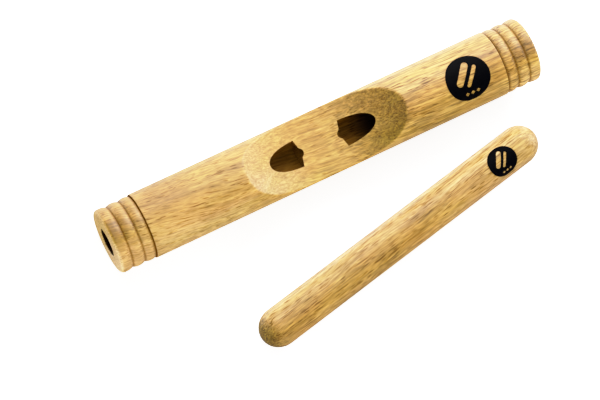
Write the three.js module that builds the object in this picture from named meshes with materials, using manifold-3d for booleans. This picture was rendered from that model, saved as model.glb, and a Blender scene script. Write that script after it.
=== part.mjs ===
// A pair of African-style claves: a hollow resonator stick with a scooped top, and the solid striker played on it.
// Millimetres, +Z up, floor at Z = 0. The hollow stick lies along X with its scoop facing up. The striker lies
// beside it on the -Y side, turned a little, with its badge end nearer the hollow stick. The origin is the
// middle of the pair's footprint on the floor.
import * as THREE from "three";
import { mergeVertices } from "three/addons/utils/BufferGeometryUtils.js";
import loadManifold from "manifold-3d";

const wasm = await loadManifold();
wasm.setup();

const { degToRad } = THREE.MathUtils;

// ---- hollow stick: places along it are measured from mid-length ----
const BODY_R = 25;
const BODY_END = 346.7 / 2; // end face
const BODY_Y = 48.98;
const BODY_SIDES = 64;

// fine groove between the plain barrel and the beads
const KERF_X = 145.45;
const KERF_W = 0.8;
const KERF_DEPTH = 2;
const KERF_WALL_SLOPE = 0.12; // how far each wall leans in along X

// three beads, the last running into the rim
const BEAD_START_R = BODY_R - 1; // beside the groove
const BEAD_CREST_R = BODY_R - 0.3;
const BEAD_VALLEY_R = BODY_R - 1.6;
const BEAD_VALLEYS_X = [154.25, 163.8];
const LAST_BEAD_L = 9.4; // its full length, of which only the rising half is used
const BEAD_POWER = 0.9; // below 1 makes a bead fuller than a sine arch
const BEAD_STEPS = 4;
const RIM_ROUND = 3; // rounded edge of the end face
const RIM_STEPS = 3;

// the chamber drilled from each end
const BORE_R = 10.7;
const BORE_FLOOR_X = 18.3;
const BORE_OVERSHOOT = 5; // cutter past the end face
// shallow cone and centre dimple in the chamber floor, from the middle out: [radius, depth past the floor's edge]
const BORE_POINT = [
  [0, 5.3],
  [1.8, 4.3],
  [2.64, 3.75],
  [4.4, 1.65],
];

// the scoop is one round cut across the stick
const SCOOP_R = 99.8;
const SCOOP_FLOOR = 0.9; // its lowest point, above the stick's axis
const SCOOP_TOP_CLEARANCE = 4; // cutter above the stick
const SCOOP_SIDE_CLEARANCE = 10; // cutter past each side
const SCOOP_SEGMENTS = 20;

// ---- striker ----
const STRIKER_R = 14.84;
const STRIKER_L = 257.8;
const STRIKER_DOME_L = 15.7; // length of each domed end
const STRIKER_DOME_STEPS = 7;
const STRIKER_X = 27.57;
const STRIKER_Y = BODY_Y - 85.63;
const STRIKER_TURN = degToRad(11.44); // its axis against the hollow stick's
const STRIKER_SIDES = 48;

// ---- badges: thin round films that follow the wood, with an emblem left open in the middle ----
const BADGE_GAP = 0.05; // off the wood
const BADGE_T = 0.2;
const BADGE_SIDES = 48;
const SHELL_SIDES = 120; // 3-degree facets, so that no facet's middle dips into the wood
const SHELL_MARGIN = 2; // shell past the badge's edge along the stick
const PLUG_OVERSHOOT = 5; // plugs above the wood

// radius along the surface, place along the stick, degrees round it from the top towards +Y
const BODY_BADGE = { radius: 17.4, x: 115.95, turn: -6.3 };
const STRIKER_BADGE = { radius: 11.8, x: 92.6, turn: -5.7 };

// the emblem, as shares of the badge's radius: a thick stick and a thin one, with a row of three diamonds under them
const EMBLEM_STICKS = [
  { halfLength: 0.56, halfWidth: 0.15, x: -0.17, y: 0.23 },
  { halfLength: 0.5, halfWidth: 0.085, x: 0.18, y: 0.02 },
];
const EMBLEM_TURN = degToRad(52);
const CAPSULE_STEPS = 6; // round each end
const DIAMONDS = { pitch: 0.26, y: -0.66, halfHeight: 0.085 };
const DIAMOND_ASPECT = 1.25; // width over height

// ---- materials ----
const BODY_COLOR = 0xd6ac66;
const STRIKER_COLOR = 0xcfa35a;
const BADGE_COLOR = 0x0d0d0f;

function wood(color) {
  return new THREE.MeshStandardMaterial({ color, roughness: 0.42, metalness: 0 });
}

function badgeFilm() {
  return new THREE.MeshStandardMaterial({ color: BADGE_COLOR, roughness: 0.35, metalness: 0 });
}

// ---- helpers ----

// A three.js geometry as a manifold-3d solid; the geometry loses its normals and uvs so its seams can weld.
function solid(geometry) {
  geometry.deleteAttribute("normal");
  geometry.deleteAttribute("uv");
  const welded = mergeVertices(geometry, 1e-4);
  return new wasm.Manifold(
    new wasm.Mesh({
      numProp: 3,
      vertProperties: welded.attributes.position.array,
      triVerts: new Uint32Array(welded.index.array),
    }),
  );
}

// And back again.
function geometryOf(manifold) {
  const mesh = manifold.getMesh();
  const geometry = new THREE.BufferGeometry()
    .setAttribute("position", new THREE.BufferAttribute(new Float32Array(mesh.vertProperties), 3))
    .setIndex(new THREE.BufferAttribute(new Uint32Array(mesh.triVerts), 1));
  geometry.computeVertexNormals();
  return geometry;
}

// A shape turned about X from [radius, x] pairs.
function turned(profile, sides) {
  const points = profile.map(([radius, x]) => new THREE.Vector2(radius, x));
  return new THREE.LatheGeometry(points, sides).rotateZ(-Math.PI / 2);
}

// The +X half of a profile, led by its mirror image.
function mirrored(half) {
  return [...half.map(([radius, x]) => [radius, -x]).reverse(), ...half];
}

// ---- hollow stick ----

// Profile points of a bead that ends in a valley (both ends included).
function beadPoints(startX, startR, endX) {
  const points = [];
  for (let i = 0; i <= BEAD_STEPS; i++) {
    const t = i / BEAD_STEPS;
    const base = startR + (BEAD_VALLEY_R - startR) * t;
    const rise = (BEAD_CREST_R - base) * Math.sin(Math.PI * t) ** BEAD_POWER;
    points.push([base + rise, startX + (endX - startX) * t]);
  }
  return points;
}

function bodyProfile() {
  const kerfStart = KERF_X - KERF_W / 2;
  const kerfEnd = KERF_X + KERF_W / 2;
  const kerfFloorR = BODY_R - KERF_DEPTH;
  const [valley1, valley2] = BEAD_VALLEYS_X;
  const lastBead = beadPoints(valley2, BEAD_VALLEY_R, valley2 + LAST_BEAD_L);
  const half = [
    [BODY_R, kerfStart],
    [kerfFloorR, kerfStart + KERF_WALL_SLOPE],
    [kerfFloorR, kerfEnd - KERF_WALL_SLOPE],
    ...beadPoints(kerfEnd, BEAD_START_R, valley1),
    ...beadPoints(valley1, BEAD_VALLEY_R, valley2).slice(1),
    ...lastBead.slice(1, BEAD_STEPS / 2 + 1),
  ];
  for (let i = 0; i <= RIM_STEPS; i++) {
    const angle = (i / RIM_STEPS) * (Math.PI / 2);
    half.push([
      BEAD_CREST_R - RIM_ROUND * (1 - Math.cos(angle)),
      BODY_END - RIM_ROUND + RIM_ROUND * Math.sin(angle),
    ]);
  }
  half.push([0, BODY_END]);
  return mirrored(half);
}

// The cutter for the +X chamber.
function boreCutter() {
  const profile = [
    ...BORE_POINT.map(([radius, depth]) => [radius, BORE_FLOOR_X - depth]),
    [BORE_R, BORE_FLOOR_X],
    [BORE_R, BODY_END + BORE_OVERSHOOT],
    [0, BODY_END + BORE_OVERSHOOT],
  ];
  return turned(profile, BODY_SIDES);
}

// A circular segment lying across the stick, round side down.
function scoopCutter() {
  const centre = SCOOP_FLOOR + SCOOP_R;
  const top = BODY_R + SCOOP_TOP_CLEARANCE;
  const halfAngle = Math.acos((centre - top) / SCOOP_R);
  const down = -Math.PI / 2;
  const segment = new THREE.Shape();
  segment.absarc(0, centre, SCOOP_R, down - halfAngle, down + halfAngle, false);
  segment.closePath();
  const halfWidth = BODY_R + SCOOP_SIDE_CLEARANCE;
  return new THREE.ExtrudeGeometry(segment, {
    depth: 2 * halfWidth,
    bevelEnabled: false,
    curveSegments: SCOOP_SEGMENTS,
  })
    .rotateX(Math.PI / 2)
    .translate(0, halfWidth, 0);
}

function hollowStick() {
  const stick = solid(turned(bodyProfile(), BODY_SIDES))
    .subtract(solid(boreCutter()))
    .subtract(solid(boreCutter().rotateZ(Math.PI)))
    .subtract(solid(scoopCutter()));
  return geometryOf(stick);
}

// ---- striker ----
function strikerStick() {
  const domeStart = STRIKER_L / 2 - STRIKER_DOME_L;
  const dome = [];
  for (let i = 0; i <= STRIKER_DOME_STEPS; i++) {
    const angle = (i / STRIKER_DOME_STEPS) * (Math.PI / 2);
    dome.push([
      i === STRIKER_DOME_STEPS ? 0 : STRIKER_R * Math.cos(angle),
      domeStart + STRIKER_DOME_L * Math.sin(angle),
    ]);
  }
  return turned(mirrored(dome), STRIKER_SIDES);
}

// ---- badges: outlines are [along the stick, round its surface], from the badge's middle ----

function discOutline(radius) {
  const points = [];
  for (let i = 0; i < BADGE_SIDES; i++) {
    const angle = (i / BADGE_SIDES) * 2 * Math.PI;
    points.push([radius * Math.cos(angle), radius * Math.sin(angle)]);
  }
  return points;
}

function capsuleOutline({ halfLength, halfWidth, x, y }, scale) {
  const points = [];
  for (const side of [1, -1])
    for (let i = 0; i <= CAPSULE_STEPS; i++) {
      const angle = (-side * Math.PI) / 2 + (i / CAPSULE_STEPS) * Math.PI;
      points.push([
        side * (halfLength - halfWidth) + halfWidth * Math.cos(angle),
        halfWidth * Math.sin(angle),
      ]);
    }
  const cos = Math.cos(EMBLEM_TURN);
  const sin = Math.sin(EMBLEM_TURN);
  return points.map(([along, across]) => [
    scale * (x + along * cos - across * sin),
    scale * (y + along * sin + across * cos),
  ]);
}

function diamondOutline(place, scale) {
  const x = place * scale * DIAMONDS.pitch;
  const y = scale * DIAMONDS.y;
  const halfHeight = scale * DIAMONDS.halfHeight;
  const halfWidth = DIAMOND_ASPECT * halfHeight;
  return [
    [x + halfWidth, y],
    [x, y + halfHeight],
    [x - halfWidth, y],
    [x, y - halfHeight],
  ];
}

// An outline on a stick's surface, as an upright plug that meets the shell just outside the wood.
function plug(outline, stickR) {
  const shape = new THREE.Shape(
    outline.map(([x, arc]) => new THREE.Vector2(x, stickR * Math.sin(arc / stickR))),
  );
  return solid(
    new THREE.ExtrudeGeometry(shape, { depth: stickR + PLUG_OVERSHOOT, bevelEnabled: false }),
  );
}

// A disc of the shell just outside a stick along X, less the emblem.
function badge({ radius, x, turn }, stickR) {
  const inside = stickR + BADGE_GAP;
  const outside = inside + BADGE_T;
  const reach = radius + SHELL_MARGIN;
  const tube = [
    [inside, -reach],
    [outside, -reach],
    [outside, reach],
    [inside, reach],
    [inside, -reach],
  ];
  const emblem = [
    ...EMBLEM_STICKS.map((stick) => capsuleOutline(stick, radius)),
    ...[-1, 0, 1].map((place) => diamondOutline(place, radius)),
  ];
  let film = solid(turned(tube, SHELL_SIDES)).intersect(plug(discOutline(radius), stickR));
  for (const outline of emblem) film = film.subtract(plug(outline, stickR));
  return geometryOf(film).rotateX(-degToRad(turn)).translate(x, 0, 0);
}

// ---- assembly ----
function add(group, name, geometry, material) {
  const mesh = new THREE.Mesh(geometry, material);
  mesh.name = name;
  group.add(mesh);
}

const bodyGroup = new THREE.Group();
bodyGroup.position.set(0, BODY_Y, BODY_R);
add(bodyGroup, "clave_body", hollowStick(), wood(BODY_COLOR));
add(bodyGroup, "body_badge", badge(BODY_BADGE, BODY_R), badgeFilm());

const strikerGroup = new THREE.Group();
strikerGroup.position.set(STRIKER_X, STRIKER_Y, STRIKER_R);
strikerGroup.rotation.z = STRIKER_TURN;
add(strikerGroup, "striker", strikerStick(), wood(STRIKER_COLOR));
add(strikerGroup, "striker_badge", badge(STRIKER_BADGE, STRIKER_R), badgeFilm());

const root = new THREE.Group();
root.add(bodyGroup, strikerGroup);

export default root;
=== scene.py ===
import math

import bmesh
import bpy
import numpy as np
from mathutils import Matrix, Vector


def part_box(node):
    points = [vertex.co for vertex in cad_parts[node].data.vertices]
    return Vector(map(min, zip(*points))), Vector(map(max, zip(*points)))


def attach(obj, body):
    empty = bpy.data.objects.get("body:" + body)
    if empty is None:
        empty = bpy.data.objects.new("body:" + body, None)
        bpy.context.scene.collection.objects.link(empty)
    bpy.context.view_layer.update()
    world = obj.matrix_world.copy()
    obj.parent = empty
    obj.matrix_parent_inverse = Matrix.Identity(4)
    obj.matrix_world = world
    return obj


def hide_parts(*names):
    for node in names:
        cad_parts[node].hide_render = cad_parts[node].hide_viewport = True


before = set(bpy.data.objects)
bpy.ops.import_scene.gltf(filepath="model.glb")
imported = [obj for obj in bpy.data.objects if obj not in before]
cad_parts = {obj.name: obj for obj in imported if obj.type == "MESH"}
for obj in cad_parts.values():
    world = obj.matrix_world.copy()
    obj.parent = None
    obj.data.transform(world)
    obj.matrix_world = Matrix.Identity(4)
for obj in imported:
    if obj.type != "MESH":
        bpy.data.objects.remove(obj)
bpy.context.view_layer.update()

MM = 0.001

# ---------------------------------------------------------------- sizes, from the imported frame
lo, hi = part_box("clave_body")
BODY_C = Vector(((lo.x + hi.x) / 2, (lo.y + hi.y) / 2, (lo.z + hi.z) / 2)) / MM
R = (hi.z - lo.z) / 2 / MM
HALF = (hi.x - lo.x) / 2 / MM
slo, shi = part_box("striker")
STRIKER_C = Vector(((slo.x + shi.x) / 2, (slo.y + shi.y) / 2, (slo.z + shi.z) / 2)) / MM
SR = (shi.z - slo.z) / 2 / MM
STURN = math.radians(11.44)
SHALF = 128.9
SDOME = 15.7

KERF_X, KERF_W, KERF_DEPTH = 145.45, 0.8, 2.0
BEAD_X = (154.25, 163.8)
CREST, VALLEY, RIM = 0.3, 1.5, 3.0
BORE_R, BORE_FLOOR = 10.7, 18.3
BORE_POINT = [(4.4, 1.65), (2.64, 3.75), (1.8, 4.3), (0.0, 5.3)]
SCOOP_R, SCOOP_FLOOR, SCOOP_EDGE = 99.8, 0.9, 0.9
BODY_BADGE = dict(r=17.4, x=115.95, turn=-6.3)
# the emblem: a thick stick and a thin one side by side (half length, half width, middle), as shares of the radius
PAIR = ((0.56, 0.15, -0.17, 0.23), (0.50, 0.085, 0.18, 0.02))
PAIR_TURN = math.radians(52)
STRIKER_BADGE = dict(r=11.8, x=92.6, turn=-5.7)


# ---------------------------------------------------------------- mesh helpers
def new_object(name, verts, faces, smooth=True):
    mesh = bpy.data.meshes.new(name)
    mesh.from_pydata([tuple(v) for v in verts], [], faces)
    mesh.update()
    ob = bpy.data.objects.new(name, mesh)
    bpy.context.scene.collection.objects.link(ob)
    if smooth:
        mesh.shade_smooth()
    return ob


def lathe(name, profile, sides):
    """A closed turned mesh about X from (radius, x) pairs whose first and last points lie on the axis."""
    verts, rings = [], []
    ang = np.linspace(0, 2 * math.pi, sides, endpoint=False)
    for r, x in profile:
        if r < 1e-6:
            rings.append([len(verts)])
            verts.append((x, 0.0, 0.0))
        else:
            rings.append(list(range(len(verts), len(verts) + sides)))
            verts += [(x, r * math.sin(a), r * math.cos(a)) for a in ang]
    faces = []
    for a, b in zip(rings, rings[1:]):
        if len(a) == 1 and len(b) == 1:
            continue
        for i in range(sides):
            j = (i + 1) % sides
            if len(a) == 1:
                faces.append((a[0], b[i], b[j]))
            elif len(b) == 1:
                faces.append((a[i], b[0], a[j]))
            else:
                faces.append((a[i], b[i], b[j], a[j]))
    return new_object(name, verts, faces)


def fix_normals(ob):
    bm = bmesh.new()
    bm.from_mesh(ob.data)
    bmesh.ops.recalc_face_normals(bm, faces=bm.faces)
    if bm.calc_volume(signed=True) < 0:
        bmesh.ops.reverse_faces(bm, faces=bm.faces)
    bm.to_mesh(ob.data)
    bm.free()
    ob.data.update()


def boolean(ob, cutter, how="DIFFERENCE"):
    m = ob.modifiers.new("cut", "BOOLEAN")
    m.operation = how
    m.object = cutter
    m.solver = "EXACT"
    bpy.context.view_layer.update()
    dg = bpy.context.evaluated_depsgraph_get()
    mesh = bpy.data.meshes.new_from_object(ob.evaluated_get(dg))
    ob.modifiers.remove(m)
    old = ob.data
    ob.data = mesh
    mesh.name = ob.name
    bpy.data.meshes.remove(old)
    bpy.data.objects.remove(cutter)


def clean(ob, dist=0.004):
    bm = bmesh.new()
    bm.from_mesh(ob.data)
    bmesh.ops.remove_doubles(bm, verts=bm.verts, dist=dist)
    bmesh.ops.dissolve_degenerate(bm, edges=bm.edges, dist=dist * 0.5)
    gaps = [e for e in bm.edges if e.is_boundary]
    if gaps:
        bmesh.ops.holes_fill(bm, edges=gaps, sides=8)
    bmesh.ops.triangulate(bm, faces=[f for f in bm.faces if len(f.verts) > 4])
    bm.to_mesh(ob.data)
    bm.free()
    ob.data.update()


def sharpen(ob, degrees):
    ob.data.shade_smooth()
    ob.data.set_sharp_from_angle(angle=math.radians(degrees))
    ob.data.update()


def attributes(ob, scorch_and_crease_shade=None, inside=None):
    """Local coordinates in cm, how much a corner faces along the grain, scorched kerfs with painted shade in the bead
    valleys, and the faces of the drilled bores.
    """
    mesh = ob.data
    n = len(mesh.vertices)
    co = np.zeros(n * 3, np.float32)
    mesh.vertices.foreach_get("co", co)
    co = co.reshape(-1, 3)
    a = mesh.attributes.new("wood_co", "FLOAT_VECTOR", "POINT")
    a.data.foreach_set("vector", (co / 10.0).astype(np.float32).ravel())
    nl = len(mesh.loops)
    nor = np.zeros(nl * 3, np.float32)
    mesh.corner_normals.foreach_get("vector", nor)
    nor = nor.reshape(-1, 3)
    e = np.clip((np.abs(nor[:, 0]) - 0.12) / 0.75, 0, 1)
    a = mesh.attributes.new("end_grain", "FLOAT", "CORNER")
    a.data.foreach_set("value", (e * e * (3 - 2 * e)).astype(np.float32))
    if scorch_and_crease_shade is not None:
        a = mesh.attributes.new("scorch_and_crease_shade", "FLOAT", "POINT")
        a.data.foreach_set("value", scorch_and_crease_shade(co).astype(np.float32))
    if inside is not None:
        nf = len(mesh.polygons)
        c = np.zeros(nf * 3, np.float32)
        mesh.polygons.foreach_get("center", c)
        a = mesh.attributes.new("inside", "FLOAT", "FACE")
        a.data.foreach_set("value", inside(c.reshape(-1, 3)).astype(np.float32))


def place(ob, centre_mm, turn):
    """Local millimetres to the row frame in metres, in the mesh itself."""
    m = (
        Matrix.Translation(Vector(centre_mm) * MM)
        @ Matrix.Rotation(turn, 4, "Z")
        @ Matrix.Scale(MM, 4)
    )
    ob.data.transform(m)
    ob.data.update()


# ---------------------------------------------------------------- hollow stick
def smooth01(t):
    t = np.clip(t, 0, 1)
    return t * t * (3 - 2 * t)


def arc_bead(x0, x1, r0, r1, crest, n):
    """A circular bead between two valleys of radius r0 and r1, as (radius, x) points, ends left out."""
    pts = []
    for i in range(1, n):
        t = i / n
        t = 0.5 - 0.5 * math.cos(math.pi * t) if 0 < t < 1 else t
        t = 0.35 * t + 0.65 * (i / n)
        base = r0 + (r1 - r0) * t
        w = x1 - x0
        sag = crest - (r0 + r1) / 2
        rad = w * w / (8 * sag) + sag / 2
        u = (t - 0.5) * w
        h = math.sqrt(max(rad * rad - u * u, 0)) - (rad - sag)
        pts.append((base + h, x0 + w * t))
    return pts


def half_profile():
    crest, valley = R - CREST, R - VALLEY
    k0, k1 = KERF_X - KERF_W / 2, KERF_X + KERF_W / 2
    p = [
        (R, k0 - 0.55),
        (R - 0.03, k0 - 0.22),
        (R - 0.12, k0 - 0.06),
        (R - 0.30, k0),
        (R - KERF_DEPTH + 0.2, k0 + 0.06),
        (R - KERF_DEPTH, k0 + 0.22),
        (R - KERF_DEPTH, k1 - 0.22),
        (R - KERF_DEPTH + 0.2, k1 - 0.06),
        (R - 1.15, k1 + 0.02),
    ]
    p += arc_bead(k1 + 0.02, BEAD_X[0] - 0.08, R - 1.15, valley, crest, 13)
    p += [(valley, BEAD_X[0] - 0.08), (valley - 0.05, BEAD_X[0]), (valley, BEAD_X[0] + 0.08)]
    p += arc_bead(BEAD_X[0] + 0.08, BEAD_X[1] - 0.08, valley, valley, crest, 14)
    p += [(valley, BEAD_X[1] - 0.08), (valley - 0.05, BEAD_X[1]), (valley, BEAD_X[1] + 0.08)]
    outer = arc_bead(BEAD_X[1] + 0.08, BEAD_X[1] + 9.6, valley, valley, crest, 14)
    p += [q for q in outer if q[1] < HALF - RIM - 1.2]
    n = 9
    for i in range(n + 1):
        a = i / n * math.pi / 2
        p.append((crest - RIM * (1 - math.cos(a)), HALF - RIM + RIM * math.sin(a)))
    return p


def hollow_stick():
    prof = half_profile()
    # stations along the stick: (x, outside radius)
    scoop_half = 66.6
    xs = [(x, R) for x in np.arange(-scoop_half, scoop_half + 0.01, 0.74)]
    barrel = [(x, R) for x in np.linspace(scoop_half + 1.2, KERF_X - 2.0, 17)]
    right = barrel + [(x, r) for r, x in prof]
    left = [(-x, r) for x, r in right][::-1]
    st = left + xs + right
    X = np.array([s[0] for s in st])
    R0 = np.array([s[1] for s in st])
    # rays in each section leave from a point under the axis, closer together over the top
    q = 10.0
    top = np.radians(np.arange(-72, 72.01, 0.9))
    rest = np.radians(np.linspace(72, 288, 98))[1:-1]
    phi = np.concatenate([top, rest])
    S, C = np.sin(phi)[None], np.cos(phi)[None]
    centre = SCOOP_FLOOR + SCOOP_R

    def inside(t):
        y, z = t * S, -q + t * C
        d = np.sqrt(y * y + z * z) - R0[:, None]
        g = SCOOP_R - np.sqrt(X[:, None] ** 2 + (z - centre) ** 2)
        e = SCOOP_EDGE
        u, v = np.maximum(d + e, 0), np.maximum(g + e, 0)
        return np.minimum(-e, np.maximum(d, g)) + np.sqrt(u * u + v * v)

    a = np.zeros((len(X), len(phi)))
    b = np.full_like(a, 2 * R + 20)
    for _ in range(44):
        m = (a + b) / 2
        f = inside(m) < 0
        a = np.where(f, m, a)
        b = np.where(f, b, m)
    Y, Z = a * S, -q + a * C
    nx, nc = Y.shape
    verts = np.stack([np.repeat(X[:, None], nc, 1), Y, Z], 2).reshape(-1, 3).tolist()
    faces = []
    for i in range(nx - 1):
        o = i * nc
        for j in range(nc):
            k = (j + 1) % nc
            faces.append((o + j, o + nc + j, o + nc + k, o + k))
    # flat end faces, as rings down to the middle
    for side, row in ((-1, 0), (1, nx - 1)):
        ring = [row * nc + j for j in range(nc)]
        r_out = R - CREST - RIM
        for s in (0.84, 0.66, 0.3):
            new = list(range(len(verts), len(verts) + nc))
            for j in range(nc):
                x, y, z = verts[row * nc + j]
                verts.append((x, y * s, z * s))
            for j in range(nc):
                k = (j + 1) % nc
                f = (ring[j], new[j], new[k], ring[k])
                faces.append(f if side > 0 else f[::-1])
            ring = new
        verts.append((side * HALF, 0, 0))
        c = len(verts) - 1
        for j in range(nc):
            k = (j + 1) % nc
            f = (ring[j], c, ring[k])
            faces.append(f if side > 0 else f[::-1])
    ob = new_object("clave_body_wood", verts, faces)
    fix_normals(ob)
    for side in (1, -1):
        bore = [(r, side * (BORE_FLOOR - d)) for r, d in BORE_POINT][::-1]
        bore += [
            (BORE_R, side * BORE_FLOOR),
            (BORE_R, side * (HALF - 0.5)),
            (BORE_R + 0.5, side * HALF),
            (BORE_R + 3.5, side * (HALF + 3)),
            (0, side * (HALF + 3)),
        ]
        cutter = lathe("bore", bore, 128)
        fix_normals(cutter)
        boolean(ob, cutter)
    clean(ob)
    sharpen(ob, 38)

    # scorched kerfs, the left one darker, and painted shade along the bead valleys
    def scorch_and_crease_shade(co):
        r = np.hypot(co[:, 1], co[:, 2])
        x = np.abs(co[:, 0])
        kerf = (np.abs(x - KERF_X) < KERF_W / 2 + 0.05) & (r < R - 0.2) & (r > R - 4)
        amount = np.where(co[:, 0] < 0, 1.0, 0.75)
        groove = np.zeros(len(co))
        for gx in BEAD_X:
            groove = np.maximum(
                groove, 0.5 * np.exp(-(((x - gx) / 0.42) ** 2)) * (r > R - 4)
            )
        return np.where(kerf, amount, groove)

    def bore_faces(c):
        r = np.hypot(c[:, 1], c[:, 2])
        return (
            (r < BORE_R + 0.02) & (np.abs(c[:, 0]) < HALF - 0.1)
            & (c[:, 2] < SCOOP_FLOOR + SCOOP_R - np.sqrt(np.maximum(SCOOP_R**2 - np.minimum(np.abs(c[:, 0]), 99) ** 2, 0)) - 0.02)
        ).astype(float)

    attributes(ob, scorch_and_crease_shade, bore_faces)
    place(ob, BODY_C, 0.0)
    return ob


# ---------------------------------------------------------------- striker
def striker_stick():
    flank = SHALF - SDOME
    dome = []
    n = 30
    for i in range(n + 1):
        a = i / n * math.pi / 2
        dome.append((0.0 if i == n else SR * math.cos(a), flank + SDOME * math.sin(a)))
    body = [(SR, x) for x in np.linspace(-flank, flank, 49)[1:-1]]
    prof = [(r, -x) for r, x in dome[::-1]] + body + dome
    ob = lathe("striker_wood_stick", prof, 160)
    fix_normals(ob)
    attributes(ob)
    place(ob, STRIKER_C, STURN)
    return ob


# ---------------------------------------------------------------- badges
def prism(outline, z0, z1, name="prism"):
    n = len(outline)
    verts = [(x, s, z0) for x, s in outline] + [(x, s, z1) for x, s in outline]
    faces = [tuple(range(n - 1, -1, -1)), tuple(range(n, 2 * n))]
    for i in range(n):
        j = (i + 1) % n
        faces.append((i, j, n + j, n + i))
    ob = new_object(name, verts, faces, smooth=False)
    fix_normals(ob)
    return ob


def capsule(half, w, turn, n=14, cx=0.0, cy=0.0):
    pts = []
    for sign, start in ((1, -math.pi / 2), (-1, math.pi / 2)):
        for i in range(n + 1):
            a = start + i / n * math.pi
            x = sign * (half - w) + w * math.cos(a)
            y = w * math.sin(a)
            pts.append(
                (
                    cx + x * math.cos(turn) - y * math.sin(turn),
                    cy + x * math.sin(turn) + y * math.cos(turn),
                )
            )
    return pts


def badge(name, spec, r, centre, turn, cell):
    size = spec["r"]
    gap, thick = 0.04, 0.14
    # a flat slab of small cells, cut to the disc, less the emblem, then wrapped round the wood
    n = int(math.ceil((size + 1) / cell))
    ax = np.arange(-n, n + 1) * cell
    verts = [(x, s, h) for h in (0.0, thick) for x in ax for s in ax]
    m = len(ax)
    faces = []
    for i in range(m - 1):
        for j in range(m - 1):
            k = i * m + j
            faces.append((k, k + 1, k + m + 1, k + m))
            k += m * m
            faces.append((k, k + m, k + m + 1, k + 1))
    rim = [i * m for i in range(m)] + [(m - 1) * m + j for j in range(1, m)]
    rim += [i * m + m - 1 for i in range(m - 2, -1, -1)] + list(range(m - 2, 0, -1))
    for i in range(len(rim)):
        a, b = rim[i], rim[(i + 1) % len(rim)]
        faces.append((a, b, b + m * m, a + m * m))
    ob = new_object(name, verts, faces, smooth=False)
    fix_normals(ob)
    disc = [
        (size * math.cos(a), size * math.sin(a))
        for a in np.linspace(0, 2 * math.pi, 128, endpoint=False)
    ]
    boolean(ob, prism(disc, -1, 1), "INTERSECT")
    for half, w, cx, cy in PAIR:
        boolean(ob, prism(capsule(size * half, size * w, PAIR_TURN, cx=size * cx, cy=size * cy), -1, 1))
    for k in (-1, 0, 1):
        x0, y0, h = k * size * 0.26, -size * 0.66, size * 0.085
        gem = [(x0 + 1.25 * h, y0), (x0, y0 + h), (x0 - 1.25 * h, y0), (x0, y0 - h)]
        boolean(ob, prism(gem, -1, 1))
    clean(ob, 0.002)
    co = np.zeros(len(ob.data.vertices) * 3, np.float32)
    ob.data.vertices.foreach_get("co", co)
    co = co.reshape(-1, 3).astype(float)
    ang = co[:, 1] / r + math.radians(-spec["turn"]) * -1
    rad = r + gap + co[:, 2]
    out = np.stack([co[:, 0] + spec["x"], rad * np.sin(ang), rad * np.cos(ang)], 1)
    ob.data.vertices.foreach_set("co", out.astype(np.float32).ravel())
    ob.data.update()
    fix_normals(ob)
    sharpen(ob, 40)
    a = ob.data.attributes.new("wood_co", "FLOAT_VECTOR", "POINT")
    a.data.foreach_set("vector", (out / 10).astype(np.float32).ravel())
    place(ob, centre, turn)
    return ob


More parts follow.
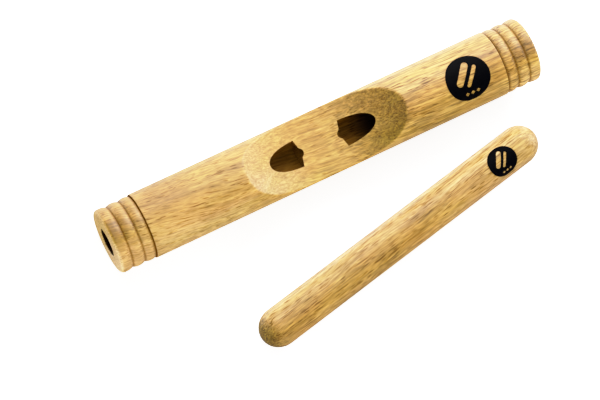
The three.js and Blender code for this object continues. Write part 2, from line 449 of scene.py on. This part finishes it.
# ---------------------------------------------------------------- materials
class Graph:
    def __init__(self, name):
        self.mat = bpy.data.materials.new(name)
        self.mat.use_nodes = True
        self.nt = self.mat.node_tree
        self.nt.nodes.clear()
        self.out = self.nt.nodes.new("ShaderNodeOutputMaterial")
        self.bsdf = self.nt.nodes.new("ShaderNodeBsdfPrincipled")
        self.nt.links.new(self.bsdf.outputs[0], self.out.inputs[0])

    def put(self, socket, value):
        if hasattr(value, "links") or isinstance(value, bpy.types.NodeSocket):
            self.nt.links.new(value, socket)
        else:
            socket.default_value = value

    def attr(self, name, vector=False):
        n = self.nt.nodes.new("ShaderNodeAttribute")
        n.attribute_name = name
        return n.outputs["Vector"] if vector else n.outputs["Fac"]

    def math(self, op, a, b=0.0, c=0.0, clamp=False):
        n = self.nt.nodes.new("ShaderNodeMath")
        n.operation = op
        n.use_clamp = clamp
        self.put(n.inputs[0], a)
        self.put(n.inputs[1], b)
        self.put(n.inputs[2], c)
        return n.outputs[0]

    def vmath(self, op, a, b=(0, 0, 0)):
        n = self.nt.nodes.new("ShaderNodeVectorMath")
        n.operation = op
        self.put(n.inputs[0], a)
        self.put(n.inputs[1], b)
        return n.outputs["Value"] if op in ("LENGTH", "DOT_PRODUCT") else n.outputs[0]

    def ramp(self, value, lo, hi, to_lo=0.0, to_hi=1.0, smooth=True):
        n = self.nt.nodes.new("ShaderNodeMapRange")
        n.interpolation_type = "SMOOTHSTEP" if smooth else "LINEAR"
        self.put(n.inputs["Value"], value)
        self.put(n.inputs["From Min"], lo)
        self.put(n.inputs["From Max"], hi)
        self.put(n.inputs["To Min"], to_lo)
        self.put(n.inputs["To Max"], to_hi)
        return n.outputs[0]

    def noise(self, vector, detail=2.0, rough=0.5, scale=1.0, distort=0.0, colour=False):
        n = self.nt.nodes.new("ShaderNodeTexNoise")
        n.noise_dimensions = "3D"
        self.put(n.inputs["Vector"], vector)
        n.inputs["Scale"].default_value = scale
        n.inputs["Detail"].default_value = detail
        n.inputs["Roughness"].default_value = rough
        n.inputs["Distortion"].default_value = distort
        return n.outputs["Color"] if colour else n.outputs["Fac"]

    def cells(self, vector, scale=1.0, randomness=1.0):
        n = self.nt.nodes.new("ShaderNodeTexVoronoi")
        n.feature = "F1"
        self.put(n.inputs["Vector"], vector)
        n.inputs["Scale"].default_value = scale
        n.inputs["Randomness"].default_value = randomness
        return n.outputs["Distance"], n.outputs["Color"]

    def mix(self, fac, a, b, how="MIX"):
        n = self.nt.nodes.new("ShaderNodeMix")
        n.data_type = "RGBA"
        n.blend_type = how
        n.clamp_factor = True
        self.put(n.inputs["Factor"], fac)
        self.put(n.inputs[6], a)
        self.put(n.inputs[7], b)
        return n.outputs[2]

    def split(self, v):
        n = self.nt.nodes.new("ShaderNodeSeparateXYZ")
        self.put(n.inputs[0], v)
        return n.outputs

    def join(self, x, y, z):
        n = self.nt.nodes.new("ShaderNodeCombineXYZ")
        for s, v in zip(n.inputs, (x, y, z)):
            self.put(s, v)
        return n.outputs[0]

    def bump(self, height, strength, distance):
        n = self.nt.nodes.new("ShaderNodeBump")
        n.inputs["Strength"].default_value = strength
        n.inputs["Distance"].default_value = distance
        self.put(n.inputs["Height"], height)
        return n.outputs[0]


def rgb(r, g, b):
    """sRGB 0-255 to the linear colour a shader takes."""
    f = lambda c: c / 12.92 if c <= 0.04045 else ((c + 0.055) / 1.055) ** 2.4
    return (f(r / 255), f(g / 255), f(b / 255), 1.0)


TONES = dict(straw=(193, 153, 76), honey=(182, 142, 60), rose=(188, 141, 68))


def wood(name, seed, body):
    g = Graph(name)
    co0 = g.attr("wood_co", True)
    co = g.vmath("ADD", co0, seed)
    ox, oy, oz = g.split(co0)
    # the grain wanders a little across the stick
    drift = g.noise(g.vmath("MULTIPLY", co, (0.10, 0.45, 0.45)), 2, 0.5, colour=True)
    drift = g.vmath("MULTIPLY", g.vmath("SUBTRACT", drift, (0.5, 0.5, 0.5)), (0, 0.9, 0.9))
    small = g.noise(g.vmath("MULTIPLY", co, (0.45, 1.4, 1.4)), 2, 0.5, colour=True)
    small = g.vmath("MULTIPLY", g.vmath("SUBTRACT", small, (0.5, 0.5, 0.5)), (0, 0.22, 0.22) if body else (0, 0.14, 0.14))
    w = g.vmath("ADD", g.vmath("ADD", co, drift), small)
    if body:
        # the hollow stick was sawn a few degrees off the grain, less so toward its badge
        lean = g.math("MULTIPLY", ox, g.math("SUBTRACT", 0.095, g.math("MULTIPLY", ox, 0.0022)))
        w = g.vmath("ADD", w, g.join(0.0, lean, 0.0))
    # growth layers about a heart well off to one side
    sx, sy, sz = g.split(w)
    heart = g.vmath("LENGTH", g.vmath("ADD", g.join(0.0, sy, sz), (0, 9.0, 13.0)))
    layer = g.noise(g.join(g.math("MULTIPLY", sx, 0.06), g.math("MULTIPLY", heart, 2.6), 0.0), 3, 0.6)
    layer = g.ramp(layer, 0.34, 0.66)
    # fibres along the grain, coarse and fine
    coarse = g.noise(g.vmath("MULTIPLY", w, (0.22, 2.8, 2.8)), 2, 0.5)
    fibre = g.noise(g.vmath("MULTIPLY", w, (0.32, 7.6, 7.6) if body else (0.28, 9.0, 9.0)), 2, 0.6)
    fine = g.noise(g.vmath("MULTIPLY", w, (1.5, 9.5, 9.5)), 2, 0.6)
    # broad zones of tone
    zone = g.ramp(g.noise(g.vmath("MULTIPLY", co, (0.22, 0.6, 0.6)), 2, 0.5), 0.40, 0.62)
    wander = g.math("MULTIPLY", g.math("SUBTRACT", g.noise(g.vmath("MULTIPLY", co, (0.3, 1.3, 1.3)), 2, 0.5), 0.5), 2.0)
    # pores: short dark hollows along the grain, dots where the grain ends
    def pore(scale, offset, size, low, high, channel):
        d, c = g.cells(g.vmath("MULTIPLY", g.vmath("ADD", w, offset), scale))
        keep = g.ramp(g.split(c)[channel], low, high)
        return g.math("MULTIPLY", g.ramp(d, size * 1.25, size * 0.6), keep)

    p1 = pore((1.1, 8.0, 8.0), (0, 0, 0), 0.30, 0.1, 0.45, 0)
    p2 = pore((0.30, 5.6, 5.6) if body else (0.55, 8.6, 8.6), (3.3, 1.7, 9.1), 0.25 if body else 0.40, 0.2, 0.55 if body else 0.5, 1)
    # the grain is plainer toward one end of the stick
    lively = g.math("ADD", g.ramp(ox, -4.0, 8.0, 0.9, 1.8), g.ramp(ox, 14.4, 15.0, 0.0, 0.3)) if body else 1.35
    crowd = g.ramp(g.noise(g.vmath("MULTIPLY", w, (0.3, 1.6, 1.6)), 2, 0.5), 0.36, 0.58, 0.4, 1.0)
    pores = g.math("MULTIPLY", g.math("MAXIMUM", p1, p2), crowd)

    straw = rgb(*TONES["straw"])
    honey = rgb(*TONES["honey"])
    rose = rgb(*TONES["rose"])
    colour = g.mix(layer, straw, honey)
    colour = g.mix(g.math("MULTIPLY", zone, 0.6), colour, rose)
    shade = g.ramp(coarse, 0.3, 0.7, 0.91, 1.09, smooth=False)
    fibres = g.math("MULTIPLY", g.ramp(fibre, 0.3, 0.7, -0.30 if body else -0.32, 0.26 if body else 0.18, smooth=False), lively)
    shade = g.math("MULTIPLY", shade, g.math("ADD", fibres, 1.0))
    shade = g.math("MULTIPLY", shade, g.ramp(fine, 0.3, 0.7, 0.78, 1.20, smooth=False))
    # tone on each stick's sides, partly wood and partly painted light and shade: the striker's upper side painted
    # lighter, most to the right, and its lower left darker; the hollow stick's lower side lighter at the left and
    # darker at the right
    if body:
        low = g.ramp(g.math("ADD", oy, g.math("MULTIPLY", wander, 0.9)), 1.0, -1.3)
        at_left = g.ramp(g.math("ADD", ox, wander), -4.0, -8.5)
        at_right = g.math("MULTIPLY", g.ramp(g.math("ADD", ox, wander), 4.5, 7.5), g.ramp(ox, 14.6, 13.6))
        side = g.math("MULTIPLY", low, g.math("SUBTRACT", g.math("MULTIPLY", at_left, 0.09), g.math("MULTIPLY", at_right, 0.23)))
    else:
        high = g.ramp(g.math("ADD", oy, g.math("MULTIPLY", wander, 0.35)), 0.2, 0.85)
        low = g.ramp(g.math("ADD", oy, g.math("MULTIPLY", wander, 0.45)), 0.32, -0.25)
        at_left = g.ramp(g.math("ADD", ox, wander), 4.0, -3.0)
        at_right = g.ramp(g.math("ADD", ox, wander), 1.0, 8.0)
        # painted light on the striker's upper side, painted shade on its lower left
        top = g.math("MULTIPLY", high, g.math("ADD", g.math("MULTIPLY", at_right, 0.13), 0.25))
        foot = g.math("ADD", g.math("MULTIPLY", at_left, 0.17), g.math("MULTIPLY", at_right, -0.01))
        side = g.math("SUBTRACT", top, g.math("MULTIPLY", low, foot))
    shade = g.math("MULTIPLY", shade, g.math("ADD", side, 1.0))
    # the paler sides are partly sapwood and partly painted sheen (the striker's upper side and lower right, the hollow
    # stick's lower left): paler rather than lighter
    if body:
        sap_and_painted_sheen = g.math("MULTIPLY", low, at_left)
    else:
        sap_and_painted_sheen = g.math("MAXIMUM", high, g.math("MULTIPLY", low, at_right))
    colour = g.mix(sap_and_painted_sheen, colour, g.mix(1.0, colour, (0.99, 1.03, 1.45, 1) if body else (0.99, 1.06, 1.65, 1), "MULTIPLY"))
    if body:
        # painted light and shade on the hollow: its left part a little lighter, its right slope darker, the front of
        # that slope darker still, and its back darker in the middle and lighter at the right end; the turned beads are
        # made darker
        away = g.vmath("LENGTH", g.join(0.0, oy, oz))
        span = g.math("ABSOLUTE", ox)
        cut = g.math("MULTIPLY", g.ramp(away, 2.48, 2.42), g.ramp(span, 6.9, 6.4))
        # painted shade on the hollow's right slope
        shade = g.math("MULTIPLY", shade, g.math("ADD", 1.0, g.math("MULTIPLY", cut, g.ramp(ox, 1.5, 4.5, 0.04, -0.12))))
        front = g.math("MULTIPLY", g.ramp(oy, -0.6, -1.5), g.ramp(ox, 1.3, 2.8, 0.0, -0.19))
        back = g.math("MULTIPLY", g.ramp(oy, 0.9, 1.4), g.math("ADD", g.ramp(ox, 5.0, 6.0, 0.0, 0.20), g.math("MULTIPLY", g.ramp(ox, 1.0, 2.0), g.ramp(ox, 4.6, 4.0, 0.0, -0.11))))
        shade = g.math("MULTIPLY", shade, g.math("ADD", 1.0, g.math("MULTIPLY", cut, g.math("ADD", front, back))))
        shade = g.math("MULTIPLY", shade, g.ramp(span, 14.5, 14.7, 1.0, 0.91))
        # painted shade in the kerfs and bead valleys, partly dirt
        groove = g.math("ABSOLUTE", g.math("SUBTRACT", span, 14.60))
        for at in BEAD_X:
            groove = g.math("MINIMUM", groove, g.math("ABSOLUTE", g.math("SUBTRACT", span, at / 10)))
        crease_shade_and_dirt = g.ramp(groove, 0.16, 0.04)
        # tone patches on the turned ends, and painted light on the right beads' foot
        patch = g.math("ABSOLUTE", g.math("SUBTRACT", g.math("ADD", oy, g.math("MULTIPLY", wander, 0.5)), 0.45))
        patch = g.math("MULTIPLY", g.math("MULTIPLY", g.ramp(patch, 1.25, 0.5), g.ramp(ox, -14.6, -16.8)), g.ramp(span, 17.32, 17.15))
        band = g.math("ABSOLUTE", g.math("ADD", g.math("ADD", oy, g.math("MULTIPLY", wander, 0.35)), 0.05))
        band = g.math("MULTIPLY", g.ramp(band, 0.85, 0.25), g.ramp(ox, 15.0, 16.0))
        # painted light: the lower side of the beads is lighter
        foot = g.math("MULTIPLY", g.ramp(oy, -0.7, -1.7), g.math("ADD", g.ramp(span, 14.6, 14.8), g.ramp(ox, 15.2, 16.0, 0.0, 0.9)))
        patches = g.math("SUBTRACT", g.math("MULTIPLY", foot, 0.14), g.math("ADD", g.math("MULTIPLY", patch, 0.38), g.math("MULTIPLY", band, 0.40)))
        shade = g.math("MULTIPLY", shade, g.math("ADD", patches, 1.0))
        colour = g.mix(g.math("MULTIPLY", band, 0.6), colour, rose)
        colour = g.mix(patch, colour, g.mix(1.0, colour, (1.03, 0.97, 0.40, 1), "MULTIPLY"))
        # the barrel blushes a little along its crown, and its foot is greener
        crown = g.math("ABSOLUTE", g.math("SUBTRACT", g.math("ADD", oy, g.math("MULTIPLY", wander, 0.4)), 0.5))
        crown = g.math("MULTIPLY", g.math("MULTIPLY", g.ramp(crown, 1.2, 0.4), g.ramp(span, 14.6, 14.4)), g.math("SUBTRACT", 1.0, cut))
        colour = g.mix(crown, colour, g.mix(1.0, colour, (0.985, 0.945, 0.90, 1), "MULTIPLY"))
        base = g.math("MULTIPLY", g.ramp(oy, -1.2, -1.9), g.ramp(span, 14.6, 14.4))
        colour = g.mix(base, colour, g.mix(1.0, colour, (0.97, 1.02, 1.0, 1), "MULTIPLY"))
        # and the left slope of the hollow gets a painted sheen, palest at the front
        pale = g.math("MULTIPLY", g.math("MULTIPLY", cut, g.ramp(ox, -1.2, -3.0)), g.ramp(oy, 0.6, -0.8))
        colour = g.mix(pale, colour, g.mix(1.0, colour, (0.99, 1.04, 1.32, 1), "MULTIPLY"))
        # the front of its right slope is a deeper yellow, and the right beads' foot gets a painted sheen, paler
        olive = g.math("MULTIPLY", g.math("MULTIPLY", cut, g.ramp(ox, 1.5, 3.0)), g.ramp(oy, -0.6, -1.5))
        colour = g.mix(olive, colour, g.mix(1.0, colour, (1.0, 1.0, 0.72, 1), "MULTIPLY"))
        # painted sheen on the lower side of the right beads
        blond = g.math("MULTIPLY", g.ramp(oy, -0.7, -1.7), g.ramp(ox, 15.2, 16.0))
        colour = g.mix(blond, colour, g.mix(1.0, colour, (1.06, 1.10, 1.42, 1), "MULTIPLY"))
        # a redder patch by the left groove
        blot = g.vmath("LENGTH", g.vmath("MULTIPLY", g.vmath("ADD", co0, (12.6, -1.5, 0)), (0.55, 1.0, 0.0)))
        blot = g.ramp(g.math("ADD", blot, g.math("MULTIPLY", wander, 0.4)), 1.7, 0.5)
        shade = g.math("MULTIPLY", shade, g.math("SUBTRACT", 1.0, g.math("MULTIPLY", blot, 0.20)))
        colour = g.mix(g.math("MULTIPLY", blot, 0.7), colour, rose)
    # a darker stretch is also a deeper yellow
    warm = g.math("POWER", shade, 1.08)
    deep = g.math("POWER", shade, 1.5)
    colour = g.mix(1.0, colour, g.join(shade, warm, deep), "MULTIPLY")
    if body:
        # the kerfs and bead valleys a darker brown: painted shade, partly dirt
        colour = g.mix(crease_shade_and_dirt, colour, g.mix(1.0, colour, (0.74, 0.67, 0.40, 1), "MULTIPLY"))
        # fewer open pores on the smooth left slope of the hollow
        quiet = g.math("MULTIPLY", cut, g.ramp(ox, 1.0, -2.5))
        pores = g.math("MULTIPLY", pores, g.math("SUBTRACT", 1.0, g.math("MULTIPLY", quiet, 0.75)))
    else:
        # painted shade: the upper rim is made a deeper, darker straw
        edge = g.ramp(oy, 1.12, 1.36)
        colour = g.mix(edge, colour, g.mix(1.0, colour, (0.99, 0.95, 0.80, 1), "MULTIPLY"))
        # the badge end's dome is sanded smooth
        pores = g.math("MULTIPLY", pores, g.ramp(ox, 11.2, 12.2, 1.0, 0.45))
    # a pore is a golden brown stain, deeper toward its middle
    stain = g.math("SUBTRACT", 1.0, g.math("MULTIPLY", pores, g.ramp(ox, 4.0, 7.0, 0.50, 0.60) if body else 0.58))
    stain = g.join(stain, g.math("POWER", stain, 1.3), g.math("POWER", stain, 3.2))
    colour = g.mix(1.0, colour, stain, "MULTIPLY")

    # end grain drinks more lacquer, and its pores are open; on the hollow the right slope's end grain is darkened far
    # more as painted shade, and the left slope's paled as painted sheen
    end = g.attr("end_grain")
    speck = g.noise(g.vmath("MULTIPLY", co, (5.0, 9.0, 9.0)), 2, 0.65)
    dark_end = g.ramp(g.math("ADD", ox, wander), -1.0, 2.8) if body else g.ramp(ox, 0.0, -6.0)
    deep_end = g.mix(dark_end, (0.87, 0.90, 1.30, 1), (0.21, 0.20, 0.06, 1))
    pale_end = g.mix(dark_end, (0.92, 0.96, 1.45, 1), (0.62, 0.64, 0.29, 1))
    endc = g.mix(1.0, colour, g.mix(g.ramp(speck, 0.38, 0.60), deep_end, pale_end), "MULTIPLY")
    if body:
        # the flat ends are sanded smooth, and painted much paler and lighter as painted sheen and light, the left one
        # most
        flat = g.ramp(span, 16.9, 17.25)
        sanded_and_painted_sheen = g.mix(g.ramp(ox, -1.0, 1.0), (1.52, 1.78, 3.0, 1), (1.12, 1.20, 1.60, 1))
        endc = g.mix(flat, endc, g.mix(1.0, colour, sanded_and_painted_sheen, "MULTIPLY"))
    colour = g.mix(end, colour, endc)
    rough = g.ramp(fibre, 0.3, 0.7, 0.56, 0.46, smooth=False)
    rough = g.math("ADD", rough, g.math("MULTIPLY", pores, 0.2))
    rough = g.math("ADD", rough, g.math("MULTIPLY", end, 0.06))
    coat = 0.35
    level = 0.5
    if body:
        scorch_and_crease_shade = g.attr("scorch_and_crease_shade")
        # scorched kerfs, with painted shade in the bead valleys
        colour = g.mix(scorch_and_crease_shade, colour, rgb(124, 79, 10))
        inside = g.attr("inside")
        # the bores are raw wood, darkened far more as painted shade, near black in the right chamber and the end holes
        dim = g.mix(g.ramp(ox, 2.0, 4.5), (0.26, 0.19, 0.055, 1), (0.03, 0.018, 0.018, 1))
        # painted light: the chambers' floors and their upper walls are painted brighter than the rest
        lit = g.math("MAXIMUM", g.ramp(span, 1.87, 1.82, 1.0, 1.3), g.ramp(oy, 0.3, 1.0, 1.0, 2.6))
        dim = g.mix(1.0, dim, g.join(lit, lit, lit), "MULTIPLY")
        dim = g.mix(g.ramp(ox, -14.0, -16.0), dim, (0.05, 0.03, 0.012, 1))
        colour = g.mix(inside, colour, g.mix(1.0, colour, dim, "MULTIPLY"))
        raw = g.math("MAXIMUM", scorch_and_crease_shade, inside)
        coat = g.math("MULTIPLY", g.math("SUBTRACT", 1.0, raw), 0.35)
        dull = g.math("MAXIMUM", g.math("MULTIPLY", raw, 0.8), g.math("MULTIPLY", crease_shade_and_dirt, 0.5))
        level = g.math("MULTIPLY", g.math("SUBTRACT", 1.0, dull), 0.5)
        rough = g.math("ADD", rough, g.math("MULTIPLY", raw, 0.3))
    g.put(g.bsdf.inputs["Base Color"], colour)
    g.put(g.bsdf.inputs["Roughness"], rough)
    g.put(g.bsdf.inputs["Specular IOR Level"], level)
    g.bsdf.inputs["IOR"].default_value = 1.47
    g.put(g.bsdf.inputs["Coat Weight"], coat)
    g.bsdf.inputs["Coat Roughness"].default_value = 0.38
    height = g.math("SUBTRACT", g.math("MULTIPLY", fibre, 0.45), g.math("MULTIPLY", pores, 1.0))
    height = g.math("ADD", height, g.math("MULTIPLY", g.math("MULTIPLY", speck, end), 0.5))
    g.put(g.bsdf.inputs["Normal"], g.bump(height, 0.45, 0.00018))
    return g.mat


def film(name):
    g = Graph(name)
    co = g.attr("wood_co", True)
    dust = g.noise(g.vmath("MULTIPLY", co, (9, 9, 9)), 3, 0.6)
    grain = g.noise(g.vmath("MULTIPLY", co, (1.2, 14, 14)), 2, 0.5)
    colour = g.mix(g.ramp(dust, 0.45, 0.75, 0.0, 0.5), rgb(2, 2, 4), rgb(9, 9, 12))
    g.put(g.bsdf.inputs["Base Color"], colour)
    g.put(g.bsdf.inputs["Roughness"], g.ramp(dust, 0.35, 0.7, 0.46, 0.58))
    g.bsdf.inputs["IOR"].default_value = 1.45
    g.bsdf.inputs["Specular IOR Level"].default_value = 0.03
    g.put(g.bsdf.inputs["Normal"], g.bump(grain, 0.15, 0.00005))
    return g.mat


body = hollow_stick()
body.data.materials.clear()
body.data.materials.append(wood("body_wood", (1.3, 4.1, 2.2), True))
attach(body, "hollow_stick")
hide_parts("clave_body")

stick = striker_stick()
stick.data.materials.append(wood("striker_wood", (31.7, 12.9, 7.4), False))
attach(stick, "striker_stick")
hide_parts("striker")

film_mat = film("badge_black")
b1 = badge("body_badge_film", BODY_BADGE, R, BODY_C, 0.0, 0.8)
b1.data.materials.append(film_mat)
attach(b1, "hollow_stick")
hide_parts("body_badge")
b2 = badge("striker_badge_film", STRIKER_BADGE, SR, STRIKER_C, STURN, 0.7)
b2.data.materials.append(film_mat)
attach(b2, "striker_stick")
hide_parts("striker_badge")

# ---------------------------------------------------------------- floor
floor = new_object("floor", [(-6, -6, 0), (6, -6, 0), (6, 6, 0), (-6, 6, 0)], [(0, 1, 2, 3)], False)
fg = Graph("floor_paper")
tone = fg.noise(fg.vmath("MULTIPLY", fg.nt.nodes.new("ShaderNodeTexCoord").outputs["Object"], (1.5, 1.5, 1.5)), 2, 0.5)
ray = fg.nt.nodes.new("ShaderNodeLightPath").outputs
paper = fg.mix(tone, (0.90, 0.90, 0.90, 1), (0.92, 0.92, 0.915, 1))
fg.put(fg.bsdf.inputs["Base Color"], fg.mix(ray["Is Diffuse Ray"], paper, (0.62, 0.61, 0.60, 1)))
fg.bsdf.inputs["Roughness"].default_value = 0.9
# a back-lit table: it glows a little, which thins the shadows
fg.bsdf.inputs["Emission Color"].default_value = (1, 1, 1, 1)
fg.put(fg.bsdf.inputs["Emission Strength"], fg.math("ADD", fg.math("MULTIPLY", ray["Is Camera Ray"], 0.75), 0.12))
# in the varnish only the far side of the table shows, brighter to the right
geo = fg.nt.nodes.new("ShaderNodeNewGeometry").outputs
slant = fg.split(geo["Incoming"])[1]
near = fg.ramp(fg.split(geo["Position"])[1], 0.032, 0.020)
far_glow = fg.ramp(slant, 0.0, -0.7, 0.0, 1.0)
near_glow = fg.ramp(slant, -0.5, -0.95, 0.12, 3.5)
away = fg.math("ADD", fg.math("MULTIPLY", near, near_glow), fg.math("MULTIPLY", fg.math("SUBTRACT", 1.0, near), far_glow))
away = fg.math("MULTIPLY", away, fg.ramp(fg.split(geo["Position"])[0], -0.2, 0.2, 1.9, 3.5))
sheen = fg.nt.nodes.new("ShaderNodeEmission")
fg.put(sheen.inputs["Strength"], away)
pick = fg.nt.nodes.new("ShaderNodeMixShader")
fg.nt.links.new(ray["Is Glossy Ray"], pick.inputs[0])
fg.nt.links.new(fg.bsdf.outputs[0], pick.inputs[1])
fg.nt.links.new(sheen.outputs[0], pick.inputs[2])
fg.nt.links.new(pick.outputs[0], fg.out.inputs[0])
floor.data.materials.append(fg.mat)

# ---------------------------------------------------------------- light
scene = bpy.context.scene
world = bpy.data.worlds.new("studio")
scene.world = world
world.use_nodes = True
wn = world.node_tree
wn.nodes["Background"].inputs["Color"].default_value = (1, 1, 1, 1)
# a pale backdrop beyond the floor, which lights nothing
seen = wn.nodes.new("ShaderNodeLightPath").outputs["Is Camera Ray"]
glow = wn.nodes.new("ShaderNodeMapRange")
glow.inputs["To Min"].default_value = 0.02
glow.inputs["To Max"].default_value = 0.95
wn.links.new(seen, glow.inputs["Value"])
wn.links.new(glow.outputs[0], wn.nodes["Background"].inputs["Strength"])


def softbox(name, direction, dist, size, power, glossy=True, colour=(1, 1, 1)):
    light = bpy.data.lights.new(name, "AREA")
    light.shape = "RECTANGLE"
    light.size, light.size_y = size
    light.energy = power
    light.color = colour
    ob = bpy.data.objects.new(name, light)
    d = Vector(direction).normalized()
    ob.location = d * dist
    ob.rotation_euler = d.to_track_quat("Z", "Y").to_euler()
    ob.visible_glossy = glossy
    scene.collection.objects.link(ob)
    return ob


def from_angles(az, el):
    a, e = math.radians(az), math.radians(el)
    return (math.cos(a) * math.cos(e), math.sin(a) * math.cos(e), math.sin(e))


LIGHT = 1.31
softbox("key", from_angles(45, 36), 2.0, (1.6, 1.2), 38 * LIGHT)
softbox("rear", from_angles(90, 46), 2.0, (1.4, 1.0), 13 * LIGHT, glossy=False)
softbox("overhead", from_angles(0, 89.9), 2.0, (1.4, 1.4), 8 * LIGHT)
softbox("low_right", from_angles(0, 10), 2.0, (1.4, 0.9), 17 * LIGHT)
softbox("low_front", from_angles(270, 14), 2.0, (1.4, 0.9), 29.5 * LIGHT, glossy=False)
softbox("low_left", from_angles(190, 8), 2.0, (1.4, 0.9), 22 * LIGHT, glossy=False)
strip = softbox("strip", from_angles(62, 9), 1.5, (2.4, 0.5), 15 * LIGHT)
strip.visible_diffuse = False

# ---------------------------------------------------------------- camera
cam = bpy.data.cameras.new("camera")
cam.lens_unit = "MILLIMETERS"
cam.sensor_fit = "HORIZONTAL"
cam.sensor_width = 36.0
cam.lens = 2897.27 * 36.0 / 600.0
cam.clip_start = 0.05
cam.clip_end = 50
cam_ob = bpy.data.objects.new("camera", cam)
right = Vector((0.88422301, -0.42615795, 0.19115196))
up = Vector((0.41436462, 0.90460196, 0.09998630))
back = Vector((-0.21552639, -0.00920357, 0.97645464))
at = Vector((-486.510, -51.022, 2087.115)) + Vector((0, BODY_C.y, 0)) - 0.37 * right + 0.41 * up
m = Matrix.Identity(4)
for i, axis in enumerate((right, up, back)):
    m[0][i], m[1][i], m[2][i] = axis
m.translation = at * MM
cam_ob.matrix_world = m
scene.collection.objects.link(cam_ob)
scene.camera = cam_ob

scene.view_settings.view_transform = "Standard"
scene.view_settings.look = "None"
scene.view_settings.exposure = 0.0
scene.view_settings.gamma = 1.0
# a soft shoulder, as a camera gives: highlights roll off instead of clipping
scene.view_settings.use_curve_mapping = True
tone = scene.view_settings.curve_mapping
TOP = 1.5
tone.use_clip = False
tone.white_level = (TOP, TOP, TOP)
curve = tone.curves[3]
SHOULDER = [(0.0, 0.0), (0.35, 0.35), (0.70, 0.70), (0.85, 0.81), (1.03, 0.89), (1.2, 0.95), (1.5, 1.0)]
while len(curve.points) > 2:
    curve.points.remove(curve.points[1])
curve.points[0].location = SHOULDER[0]
curve.points[-1].location = (SHOULDER[-1][0] / TOP, SHOULDER[-1][1])
for x, y in SHOULDER[1:-1]:
    curve.points.new(x / TOP, y)
tone.update()
